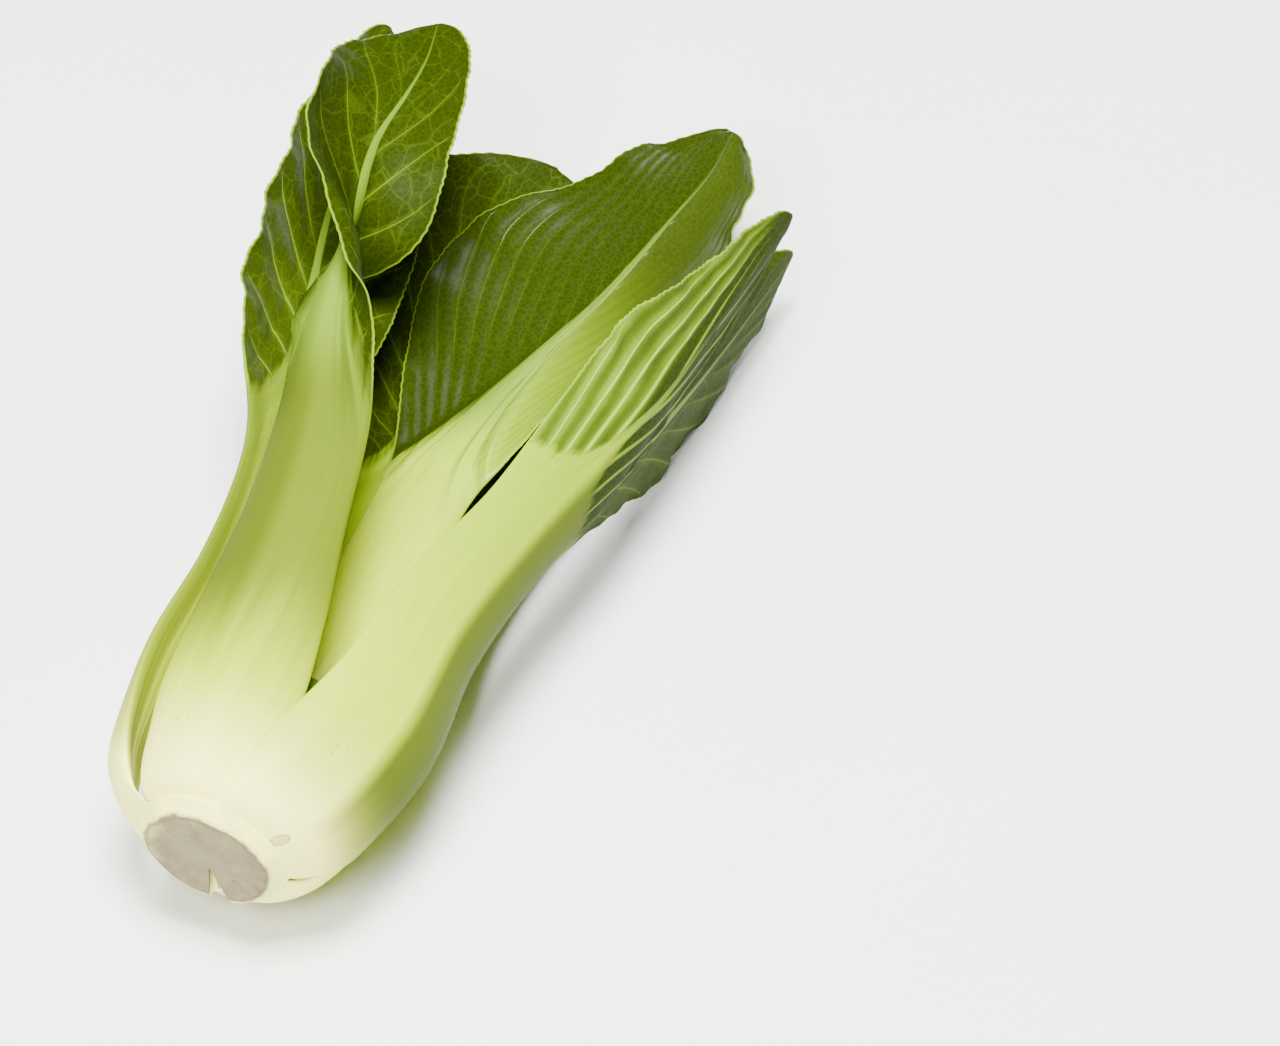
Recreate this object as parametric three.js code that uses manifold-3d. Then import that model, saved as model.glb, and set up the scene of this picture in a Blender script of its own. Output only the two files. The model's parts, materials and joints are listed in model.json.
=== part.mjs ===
// A head of bok choy lying on its side: a short cut stem with nine leaves set round it in a spiral.
// Millimetres, +Z up. The stem's axis runs along +Y and rises a little towards the leaf tips.
import * as THREE from 'three';
import { mergeVertices } from 'three/addons/utils/BufferGeometryUtils.js';
import Module from 'manifold-3d';

const wasm = await Module();
wasm.setup();

// ---- Driving dimensions ------------------------------------------------------------------
const CUT_CENTRE = new THREE.Vector3(2.9, -91.65, 25.2); // middle of the cut end of the stem
const AXIS_RISE = 4; // degrees that the stem's axis climbs
const GOLDEN_ANGLE = 137.5; // degrees from one leaf to the next, going inwards
const FIRST_FACING = 54; // degrees from straight up that the outermost leaf faces

const EDGE_THICKNESS = 0.9; // blade and stalk margins
const BASE_EXTRA = 0.6; // extra thickness of a stalk's margins near the stem
const BASE_SHARE = 0.27; // share of its full plumpness that a stalk has at the cut
const SWELL_END = 0.3; // share of the stalk at which it is plumpest
const STALK_THINNING = 0.35; // share of its thickness lost between there and the blade
const MIDRIB_SHARE = 0.65; // thickness of the midrib where the blade begins
const RIB_RISE = 0.45; // share of the midrib that stands out on the leaf's back
const COLLAR_REACH = 0.05; // how far the stalk's end runs up the middle of the blade
const COLLAR_GAP = 0.8; // between a stalk and its blade
const FAR_END = 0.995; // keeps the tip a narrow edge, not a point
const TOOTH = 0.35; // how far every other margin point of a blade stands out

const STALK_GRID = { rows: 10, columns: 11 };
const BLADE_GRID = { rows: 20, columns: 15 };
const SMALL_STALK_GRID = { rows: 8, columns: 7 };
const SMALL_BLADE_GRID = { rows: 11, columns: 9 };

const UPRIGHT_END = 12; // the leaves' sections stand square to the stem's axis at the cut, and square to
// their own middle line from this distance on

const CUT_RADIUS = 12.5; // cut end of the stem
const SPLIT_HALF_WIDTH = 2.6; // split in its lower side, at the rim
const SPLIT_TURN = 6; // degrees that the split leans from straight down
const SPLIT_DEPTH = 6;

// Leaves from the outermost inwards. Each row of a leaf is one station along it:
// [distance along the axis, distance out to the leaf's back, sideways, turn in degrees,
//  half width on the left, half width on the right, curl of each half in degrees].
const LEAVES = [
  {
    name: 'leaf_1', plump: 6.2, collar: 92, tipRound: 0.25,
    wave: { height: 0.5, count: 4, phase: 0.3 },
    rows: [
      [0, 12.9, 0, 0, 9.6, 10.4, 37, 46],
      [3, 18.4, 0.5, 0, 13.9, 13.8, 43, 46],
      [10, 23, 1.6, 0, 16.6, 16.2, 42, 45],
      [27, 28.8, 2, 0, 15, 16, 38, 42],
      [48, 30.5, 2, 2, 12.5, 13, 40, 42],
      [71, 32.5, 6, 6, 11, 11.5, 36, 42],
      [92, 35, 10.5, 12, 14, 12.5, 25, 38],
      [111, 35, 16, 18, 17.5, 14, 15, 60],
      [132, 34, 20.5, 22, 12.5, 14.5, 15, 75],
      [151, 33, 24, 22, 9.5, 11.5, 15, 70],
      [167, 32, 27, 20, 8, 8, 15, 55],
    ],
  },
  {
    name: 'leaf_2', plump: 4.8, collar: 87, tipRound: 0.25,
    wave: { height: 0.8, count: 5, phase: 0.1 },
    rows: [
      [0, 12.9, 0, 0, 10, 5.8, 45, 26],
      [3, 19.3, 0.8, 0, 11, 7.5, 42, 32],
      [10, 23.6, 2, -3, 11, 9, 45, 48],
      [26, 23.8, 5, -20, 11, 9, 45, 40],
      [48, 22.6, 5, -28, 10, 7.5, 45, 40],
      [70, 25, 3, -35, 9, 6, 50, 40],
      [88, 26.5, 1.5, -50, 9, 11.5, 40, 20],
      [107, 30.5, 1, -62, 15, 15.5, 10, 30],
      [125, 35, 1, -66, 18, 14, 10, 35],
      [143, 38.5, 1, -66, 17, 13, 10, 35],
      [160, 41, 1, -66, 15, 12.5, 10, 30],
      [175, 43.5, 2.5, -60, 12, 10, 10, 20],
    ],
  },
  {
    name: 'leaf_3', plump: 6, collar: 92, tipRound: 0.3,
    wave: { height: 0.8, count: 4, phase: 0.5 },
    rows: [
      [0, 12.9, 0, 0, 8.2, 11.2, 37, 50],
      [3, 18, 1, 0, 10.5, 13, 38, 45],
      [11, 23, 2, 0, 13.5, 15.5, 42, 45],
      [26, 27, 3.5, 0, 17, 17, 45, 45],
      [46, 28, 4, 0, 14, 14, 42, 42],
      [70, 28.5, 6, 0, 12, 12, 38, 38],
      [92, 30, 8, 9, 12, 12, 30, 30],
      [112, 30.8, 9.5, 21, 14, 20, 20, 20],
      [132, 32.3, 11.5, 32, 17, 27, 15, 10],
      [150, 34, 12.5, 34, 17, 26, 12, 8],
      [164, 35, 13.5, 34, 12, 18, 10, 6],
    ],
  },
  {
    name: 'leaf_4', plump: 5.8, collar: 82, tipRound: 0.16,
    wave: { height: 0.5, count: 4, phase: 0.3 },
    rows: [
      [0.3, 11.3, -4.9, -23, 7.8, 8.8, 36, 64],
      [3, 15.6, -6.5, -22, 10.7, 11.5, 41, 61],
      [10, 18.9, -7.6, -20, 11.6, 13.6, 42, 60],
      [22, 20.5, -7.8, -14, 12.2, 16.6, 36, 59],
      [40, 22, -7.6, -6, 12, 13.4, 42, 48],
      [58, 21, -9.5, -5, 11, 10.5, 45, 45],
      [76, 20.8, -13, -8, 10, 9.5, 45, 25],
      [92, 20.7, -18, -10, 8.5, 9, 45, -30],
      [106, 21.5, -22, -18, 10, 12.5, 50, -130],
      [120, 22, -25.8, -108, 15, 16.5, 60, -10],
      [135, 22, -28, -160, 14.8, 17.5, 35, 60],
      [149, 20.7, -27.3, -182, 11.8, 17, 20, 50],
      [161, 18.6, -27, -188, 8.4, 17.5, 15, 28],
      [173, 16.4, -27.2, -190, 5.5, 17, 15, 15],
    ],
  },
  {
    name: 'leaf_5', plump: 5.4, collar: 98, tipRound: 0.2,
    wave: { height: 0.8, count: 4, phase: 0.7 },
    rows: [
      [0.3, 11.2, 0, 0, 9, 7.5, 46, 38],
      [4, 14.6, 0, 0, 12, 9, 46, 40],
      [13, 17.8, 0.5, 0, 14, 10.5, 45, 45],
      [28, 21.5, 0, 0, 16, 13.5, 45, 45],
      [50, 22.5, -3, 0, 13, 12, 40, 40],
      [75, 25, -7, -5, 10.5, 10.5, 35, 35],
      [100, 27, -10, -12, 10.5, 10.5, 30, 30],
      [116, 29, -8, -20, 17, 17, 20, 20],
      [132, 30, -6, -25, 23, 23, 15, 15],
      [148, 29.5, -7, -28, 27, 26, 10, 10],
      [163, 28, -9, -28, 30, 27, 10, 10],
      [178, 25, -11, -28, 28, 22, 10, 10],
    ],
  },
  {
    name: 'leaf_6', plump: 5, collar: 94, tipRound: 0.3,
    wave: { height: 0.6, count: 4, phase: 0.9 },
    rows: [
      [0.3, 10.9, -0.6, 0, 7, 6.5, 42, 38],
      [4, 13.6, -1, 0, 8, 7.6, 44, 42],
      [13, 16.4, -1, 0, 9.8, 10.5, 45, 45],
      [28, 20.1, -1, 0, 13.5, 13, 45, 45],
      [48, 23.2, 0, 0, 12, 12, 42, 42],
      [72, 26, 4, 0, 10.5, 10.5, 38, 38],
      [96, 30, 9, 0, 11, 11, 30, 30],
      [118, 32.5, 15, 0, 16, 16.5, 20, 20],
      [138, 34.2, 20.6, 0, 16.8, 17.5, 20, 20],
      [156, 36.2, 23.2, 0, 15, 16, 20, 20],
      [173, 38, 25, 0, 11, 12, 20, 20],
    ],
  },
  {
    name: 'leaf_7', plump: 3, collar: 50, tipRound: 0.3, small: true,
    wave: { height: 0.4, count: 3, phase: 0.4 },
    rows: [
      [8, 8, 0, 0, 6, 6, 50, 50],
      [20, 11, 0, 0, 8, 8, 50, 50],
      [36, 13, 0, 0, 8, 8, 45, 45],
      [50, 14, 0, 0, 7, 7, 40, 40],
      [62, 15, 0, 0, 8, 8, 30, 30],
      [72, 15, 0, 0, 9, 9, 30, 30],
      [82, 14, 0, 0, 7, 7, 30, 30],
    ],
  },
  {
    name: 'leaf_8', plump: 5.2, collar: 98, tipRound: 0.2,
    wave: { height: 0.9, count: 4.5, phase: 0.15 },
    rows: [
      [4, 9, 0, 0, 8, 8, 50, 50],
      [19, 10.5, 1.5, 0, 10, 10, 45, 45],
      [38, 12.5, 2.5, 0, 11.5, 11.5, 40, 40],
      [58, 14.5, 2.3, 0, 10.5, 11, 35, 35],
      [79, 16, 2, 0, 8.5, 10, 30, 30],
      [98, 17, 2.3, 0, 9.5, 11, 20, 22],
      [115, 18, 0, 0, 18, 20, 60, 12],
      [131, 18.8, -4, 0, 25, 30, 65, 8],
      [147, 18.8, -9.5, 0, 26.5, 33, 65, 8],
      [163, 16.5, -15, 0, 24, 22.5, 52, 8],
      [176, 14, -20.5, 0, 13.6, 19.5, 45, 8],
      [186, 11.2, -24, 0, 6.5, 15, 35, 10],
    ],
  },
  {
    name: 'leaf_9', plump: 2.4, collar: 23, tipRound: 0.3, small: true,
    wave: { height: 0.2, count: 3, phase: 0.6 },
    rows: [
      [9, 7.5, 0, 0, 5, 5, 50, 50],
      [16, 8.8, 0, 0, 6, 6, 50, 50],
      [23, 9.5, 0, 0, 5.5, 5.5, 45, 45],
      [29, 9.5, 0, 0, 6, 6, 40, 40],
      [34, 9, 0, 0, 5, 5, 30, 30],
    ],
  },
];

const stalkMaterial = () => new THREE.MeshStandardMaterial({ color: 0xdde5a8, roughness: 0.38, metalness: 0 });
const bladeMaterial = () => new THREE.MeshStandardMaterial({ color: 0x5d7f22, roughness: 0.45, metalness: 0 });
const cutMaterial = () => new THREE.MeshStandardMaterial({ color: 0xb8a588, roughness: 0.7, metalness: 0 });

// ---- Small helpers -----------------------------------------------------------------------
const radians = THREE.MathUtils.degToRad;
const clamp01 = (x) => Math.min(1, Math.max(0, x));

function smooth(x) {
  const s = clamp01(x);
  return s * s * (3 - 2 * s);
}

const AXIS = new THREE.Vector3(0, Math.cos(radians(AXIS_RISE)), Math.sin(radians(AXIS_RISE)));
const UP = new THREE.Vector3(0, -AXIS.z, AXIS.y);
const SIDE = new THREE.Vector3(1, 0, 0);

function outward(facing) {
  return UP.clone().multiplyScalar(Math.cos(facing)).addScaledVector(SIDE, Math.sin(facing));
}

function sideways(facing) {
  return UP.clone().multiplyScalar(-Math.sin(facing)).addScaledVector(SIDE, Math.cos(facing));
}

// ---- One leaf ----------------------------------------------------------------------------
// Values of a leaf's rows at t, from 0 at the stem to 1 at the tip, on a smooth curve.
function rowAt(leaf, t) {
  const rows = leaf.rows;
  const last = rows.length - 1;
  const x = clamp01(t) * last;
  const i = Math.min(Math.floor(x), last - 1);
  const f = x - i;
  const beyond = (a, b) => a.map((value, k) => 2 * value - b[k]);
  const p0 = i > 0 ? rows[i - 1] : beyond(rows[0], rows[1]);
  const p1 = rows[i];
  const p2 = rows[i + 1];
  const p3 = i + 2 <= last ? rows[i + 2] : beyond(rows[last], rows[last - 1]);
  return p1.map((value, k) => {
    const slope = p2[k] - p0[k];
    const bend = 2 * p0[k] - 5 * value + 4 * p2[k] - p3[k];
    const twist = 3 * value - p0[k] - 3 * p2[k] + p3[k];
    return value + 0.5 * (slope * f + bend * f * f + twist * f * f * f);
  });
}

function centreAt(leaf, t) {
  const [along, out, side] = rowAt(leaf, t);
  return CUT_CENTRE.clone()
    .addScaledVector(AXIS, along)
    .addScaledVector(outward(leaf.facing), out)
    .addScaledVector(sideways(leaf.facing), side);
}

// Local frame of the leaf's cross-section: back points away from the stem, side to the right.
function frameAt(leaf, t, turn) {
  const step = 0.001;
  const before = centreAt(leaf, clamp01(t - step));
  const tangent = centreAt(leaf, clamp01(t + step)).sub(before).normalize();
  const normal = outward(leaf.facing);
  const lean = smooth(rowAt(leaf, t)[0] / UPRIGHT_END);
  normal.addScaledVector(tangent, -lean * normal.dot(tangent)).normalize();
  const side = new THREE.Vector3().crossVectors(tangent, normal).normalize();
  if (side.dot(sideways(leaf.facing)) < 0) {
    side.negate();
  }
  side.lerp(sideways(leaf.facing), 1 - lean).normalize();
  const a = radians(turn);
  return {
    back: normal.clone().multiplyScalar(Math.cos(a)).addScaledVector(side, Math.sin(a)),
    side: side.clone().multiplyScalar(Math.cos(a)).addScaledVector(normal, -Math.sin(a)),
  };
}

// Parameter at which a leaf's axis reaches a distance along the stem's axis.
function parameterAtDistance(leaf, distance) {
  let low = 0;
  let high = 1;
  for (let step = 0; step < 40; step += 1) {
    const middle = (low + high) / 2;
    if (rowAt(leaf, middle)[0] < distance) {
      low = middle;
    } else {
      high = middle;
    }
  }
  return (low + high) / 2;
}

function lengthOf(leaf) {
  const steps = 200;
  let total = 0;
  for (let i = 0; i < steps; i += 1) {
    total += centreAt(leaf, i / steps).distanceTo(centreAt(leaf, (i + 1) / steps));
  }
  return total;
}

// Thickness of the leaf in front of and behind its reference surface.
function thicknessAt(leaf, t, v, halfWidth) {
  const s = clamp01(t / leaf.collarAt);
  const p = clamp01((t - leaf.collarAt) / (1 - leaf.collarAt));
  const inBlade = t >= leaf.collarAt;
  const swell = BASE_SHARE + (1 - BASE_SHARE) * smooth(s / SWELL_END);
  const thinning = 1 - STALK_THINNING * smooth((s - SWELL_END) / (1 - SWELL_END));
  const rib = leaf.plump * MIDRIB_SHARE - EDGE_THICKNESS;
  const middle = inBlade
    ? EDGE_THICKNESS + rib * Math.exp(-2.2 * p) * Math.sqrt(1 - p)
    : leaf.plump * swell * thinning;
  const edge = EDGE_THICKNESS + BASE_EXTRA * smooth(s / 0.2) * (1 - s);
  const ribWidth = inBlade
    ? Math.min(halfWidth, leaf.collarHalfWidth * Math.exp(-3.5 * p) + EDGE_THICKNESS)
    : halfWidth;
  const across = clamp01((Math.abs(v) * halfWidth) / ribWidth);
  const bulge = (middle - edge) * Math.pow(1 - across * across, 0.9);
  const behind = RIB_RISE * smooth(p / 0.3) * bulge;
  return { behind, before: edge + bulge - behind };
}

// The two faces of the leaf at (t, v); v runs from -1 at the left margin to 1 at the right one.
function pointsAt(leaf, t, v, tooth) {
  const row = rowAt(leaf, t);
  const frame = frameAt(leaf, t, row[3]);
  const x = Math.min(FAR_END, Math.max(0, (t - 1 + leaf.tipRound) / leaf.tipRound));
  const halfWidth = (v < 0 ? row[4] : row[5]) * Math.sqrt(1 - x * x);
  const curl = radians(v < 0 ? row[6] : row[7]) || 1e-4;
  const angle = curl * Math.abs(v);
  const hand = Math.sign(v);
  const normal = frame.back.clone().multiplyScalar(Math.cos(angle));
  normal.addScaledVector(frame.side, hand * Math.sin(angle));
  const p = clamp01((t - leaf.collarAt) / (1 - leaf.collarAt));
  const shift = leaf.wave.phase + (v < 0 ? 0.37 : 0);
  const wave = leaf.wave.height * smooth(p / 0.25) * Math.pow(Math.abs(v), 2.2)
    * Math.sin(2 * Math.PI * (leaf.wave.count * p + shift));
  const point = centreAt(leaf, t)
    .addScaledVector(frame.side, (hand * halfWidth * Math.sin(angle)) / curl)
    .addScaledVector(frame.back, (-halfWidth * (1 - Math.cos(angle))) / curl)
    .addScaledVector(frame.side, hand * tooth * Math.cos(angle))
    .addScaledVector(frame.back, -tooth * Math.sin(angle))
    .addScaledVector(normal, wave);
  const { behind, before } = thicknessAt(leaf, t, v, halfWidth);
  const back = point.clone().addScaledVector(normal, behind);
  const front = point.clone().addScaledVector(normal, -before);
  back.z = Math.max(0, back.z);
  front.z = Math.max(0, front.z);
  return { back, front };
}

// Closes two matching grids of points into one solid; both faces are split along the same diagonals.
function solidBetween(grid) {
  const rows = grid.length;
  const columns = grid[0].length;
  const positions = [];
  for (const face of ['back', 'front']) {
    for (const row of grid) {
      for (const cell of row) {
        positions.push(cell[face].x, cell[face].y, cell[face].z);
      }
    }
  }
  const frontStart = rows * columns;
  const at = (i, j) => i * columns + j;
  const index = [];
  for (let i = 0; i < rows - 1; i += 1) {
    for (let j = 0; j < columns - 1; j += 1) {
      const [a, b, c, d] = [at(i, j), at(i, j + 1), at(i + 1, j + 1), at(i + 1, j)];
      index.push(a, b, c, a, c, d);
      index.push(frontStart + a, frontStart + c, frontStart + b);
      index.push(frontStart + a, frontStart + d, frontStart + c);
    }
  }
  const rim = [];
  for (let j = 0; j < columns; j += 1) {
    rim.push(at(0, j));
  }
  for (let i = 1; i < rows; i += 1) {
    rim.push(at(i, columns - 1));
  }
  for (let j = columns - 2; j >= 0; j -= 1) {
    rim.push(at(rows - 1, j));
  }
  for (let i = rows - 2; i > 0; i -= 1) {
    rim.push(at(i, 0));
  }
  rim.forEach((a, k) => {
    const b = rim[(k + 1) % rim.length];
    index.push(a, frontStart + a, frontStart + b, a, frontStart + b, b);
  });
  return outwardFacing(new Float32Array(positions), index);
}

// A geometry from points and triangles, with the triangles turned to face out.
function outwardFacing(positions, index) {
  const point = (k) => new THREE.Vector3().fromArray(positions, 3 * k);
  let volume = 0;
  for (let k = 0; k < index.length; k += 3) {
    const [a, b, c] = [point(index[k]), point(index[k + 1]), point(index[k + 2])];
    volume += a.dot(b.cross(c));
  }
  const geometry = new THREE.BufferGeometry();
  geometry.setAttribute('position', new THREE.BufferAttribute(positions, 3));
  geometry.setIndex(volume < 0 ? index.slice().reverse() : index);
  geometry.computeVertexNormals();
  return geometry;
}

function acrossValues(columns) {
  return Array.from({ length: columns }, (_, j) => -1 + (2 * j) / (columns - 1));
}

function stalkGeometry(leaf) {
  const size = leaf.small ? SMALL_STALK_GRID : STALK_GRID;
  const grid = [];
  for (let i = 0; i < size.rows; i += 1) {
    const u = i / (size.rows - 1);
    grid.push(acrossValues(size.columns).map((v) => {
      const end = leaf.collarAt + COLLAR_REACH * (1 - v * v);
      return pointsAt(leaf, u * end, v, 0);
    }));
  }
  return solidBetween(grid);
}

function bladeGeometry(leaf) {
  const size = leaf.small ? SMALL_BLADE_GRID : BLADE_GRID;
  const gap = COLLAR_GAP / lengthOf(leaf);
  const grid = [];
  for (let i = 0; i < size.rows; i += 1) {
    const even = i / (size.rows - 1);
    const u = 0.5 * even + 0.5 * Math.sin((even * Math.PI) / 2);
    grid.push(acrossValues(size.columns).map((v) => {
      const start = leaf.collarAt + COLLAR_REACH * (1 - v * v) + gap;
      const tooth = Math.abs(v) === 1 && i % 2 === 1 && i < size.rows - 1 ? TOOTH : 0;
      return pointsAt(leaf, start + (1 - start) * u, v, tooth);
    }));
  }
  return solidBetween(grid);
}

// ---- The cut stem ------------------------------------------------------------------------
function toSolid(geometry) {
  const bare = geometry.clone();
  bare.deleteAttribute('normal');
  bare.deleteAttribute('uv');
  const merged = mergeVertices(bare, 1e-4);
  return new wasm.Manifold(new wasm.Mesh({
    numProp: 3,
    vertProperties: new Float32Array(merged.attributes.position.array),
    triVerts: new Uint32Array(merged.index.array),
  }));
}

function toGeometry(solid) {
  const mesh = solid.getMesh();
  const geometry = new THREE.BufferGeometry();
  geometry.setAttribute('position', new THREE.BufferAttribute(new Float32Array(mesh.vertProperties), 3));
  geometry.setIndex(Array.from(mesh.triVerts));
  geometry.computeVertexNormals();
  return geometry;
}

// A rounded disc that carries the stalks' ends, narrowing to a cone between the inner stalks.
function stemGeometry() {
  const profile = [
    [0, -2.3],
    [CUT_RADIUS - 1.6, -2.3],
    [CUT_RADIUS - 0.4, -1.9],
    [CUT_RADIUS, -1.2],
    [CUT_RADIUS - 0.3, -0.4],
    [8.4, -0.35],
    [8.2, 0.8],
    [6.6, 3.4],
    [5.6, 8],
    [3.8, 13],
    [2, 18],
    [0, 20],
  ];
  const lathe = new THREE.LatheGeometry(profile.map(([r, y]) => new THREE.Vector2(r, y)), 32);
  const wedge = new THREE.Shape();
  wedge.moveTo(0, -2);
  wedge.lineTo(SPLIT_HALF_WIDTH, -CUT_RADIUS - 1);
  wedge.lineTo(-SPLIT_HALF_WIDTH, -CUT_RADIUS - 1);
  wedge.closePath();
  const split = new THREE.ExtrudeGeometry(wedge, { depth: SPLIT_DEPTH, bevelEnabled: false });
  split.translate(0, 0, -3.2);
  split.rotateX(-Math.PI / 2);
  split.rotateX(Math.PI);
  split.rotateY(radians(SPLIT_TURN));
  return toGeometry(toSolid(lathe).subtract(toSolid(split)));
}

// ---- The head ----------------------------------------------------------------------------
const group = new THREE.Group();

const stem = new THREE.Mesh(stemGeometry(), cutMaterial());
stem.name = 'stem_base';
stem.position.copy(CUT_CENTRE);
stem.rotation.x = radians(AXIS_RISE);
group.add(stem);

LEAVES.forEach((leaf, order) => {
  leaf.facing = radians(FIRST_FACING - GOLDEN_ANGLE * order);
  leaf.collarAt = parameterAtDistance(leaf, leaf.collar);
  const collarRow = rowAt(leaf, leaf.collarAt);
  leaf.collarHalfWidth = (collarRow[4] + collarRow[5]) / 2;
  const stalk = new THREE.Mesh(stalkGeometry(leaf), stalkMaterial());
  stalk.name = `${leaf.name}_stalk`;
  group.add(stalk);
  const blade = new THREE.Mesh(bladeGeometry(leaf), bladeMaterial());
  blade.name = `${leaf.name}_blade`;
  group.add(blade);
});

export default group;
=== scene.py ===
"""A head of baby bok choy lying on its side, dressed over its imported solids.

Run as a script. Lengths in the tables are millimetres; all that Blender gets is metres.
"""

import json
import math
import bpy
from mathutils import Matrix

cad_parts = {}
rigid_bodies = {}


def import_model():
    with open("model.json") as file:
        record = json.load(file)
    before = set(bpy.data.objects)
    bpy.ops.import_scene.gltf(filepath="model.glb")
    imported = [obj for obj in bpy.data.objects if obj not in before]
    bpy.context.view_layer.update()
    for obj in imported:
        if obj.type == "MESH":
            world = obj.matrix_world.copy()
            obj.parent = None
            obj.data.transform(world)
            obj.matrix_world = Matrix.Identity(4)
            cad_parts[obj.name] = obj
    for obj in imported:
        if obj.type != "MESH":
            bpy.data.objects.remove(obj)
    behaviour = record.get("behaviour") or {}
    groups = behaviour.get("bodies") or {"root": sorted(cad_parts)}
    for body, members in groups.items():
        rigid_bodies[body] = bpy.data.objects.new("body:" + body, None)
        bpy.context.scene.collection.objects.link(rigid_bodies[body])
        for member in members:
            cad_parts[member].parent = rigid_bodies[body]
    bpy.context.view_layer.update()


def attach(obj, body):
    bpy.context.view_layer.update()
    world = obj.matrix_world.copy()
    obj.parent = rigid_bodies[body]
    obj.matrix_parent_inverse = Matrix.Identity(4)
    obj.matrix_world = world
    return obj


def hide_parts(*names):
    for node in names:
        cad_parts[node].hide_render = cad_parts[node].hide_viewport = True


bl_info = {
    "name": "Bok choy",
    "version": (1, 0, 0),
    "blender": (4, 5, 0),
    "location": "View3D > Sidebar > Bok choy",
    "description": "Builds the leaves, the cut stem and the studio of a head of bok choy",
    "category": "Add Mesh",
}

import bpy
import numpy as np
from bpy.props import FloatProperty, FloatVectorProperty, IntProperty, PointerProperty
from bpy.types import Operator, Panel, PropertyGroup
from mathutils import Matrix

for spare in list(bpy.data.objects):
    bpy.data.objects.remove(spare)

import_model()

MM = 0.001

# ---- Where the head lies, as in the solids ----
CUT_CENTRE = np.array((2.9, -91.65, 25.2))
AXIS_RISE = 4.0  # degrees
GOLDEN_ANGLE = 137.5
FIRST_FACING = 54.0

# ---- Leaf thickness, as in the solids ----
EDGE_THICKNESS = 0.9
BASE_EXTRA = 0.6  # how much thicker the stalk's edges are just above its foot
BASE_EXTRA_END = 0.2  # share of the stalk over which they thicken
BASE_SHARE = 0.27  # share of its full thickness that a stalk has at its foot
SWELL_END = 0.3  # share of the stalk over which it reaches its full thickness
STALK_THINNING = 0.35  # share of it that is lost again by the blade
MIDRIB_SHARE = 0.65  # the midrib's thickness at the blade's start, over the stalk's
RIB_THINNING = 2.2  # how fast the midrib thins towards the tip
RIB_NARROWING = 4.5  # and how fast it narrows, 3.5 in the solids
FULLNESS = 0.9  # under 1, a section is fuller than a parabola
RIB_RISE = 0.45  # share of the midrib that stands out behind
RIB_RISE_END = 0.3  # share of the blade over which it comes to do so
FAR_END = 0.995  # the tip narrows no further than here
FLAT = 1e-4  # radians, the least curl
UPRIGHT_END = 12.0  # up to here the sections turn from the stem's axis to the leaf's own

# ---- Leaf mesh and fine shapes ----
STALK_ROWS = 0.36  # share of the rows that the stalk gets
TIP_BUNCHING = 0.3  # how much closer rows lie near the tip, and columns near a margin
MARGIN_BUNCHING = 0.38
NUDGE = 0.001  # of t, to find the middle line's direction
ROUNDING = 1.1  # mm from the margin in which a leaf rounds off
ROUNDNESS = 0.86  # and how far it does, 1 being to a knife's edge
MARGIN_THINNING = 0.45  # share of the thickness that a blade lacks beside its margin
MARGIN_REACH = 4  # mm over which it comes back
LEFT_PHASE = 0.37  # shift of the margin's waves on the left, in waves
RUFFLE = 0.28  # mm, height of the shorter waves
VEIN_WIDTH = 0.75  # mm
FULL_PANEL = 9  # mm between two side veins at which the blade swells fully
BLISTER = 0.09  # mm, height of the creases inside a panel
MOST_ROOM = 30  # mm

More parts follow.
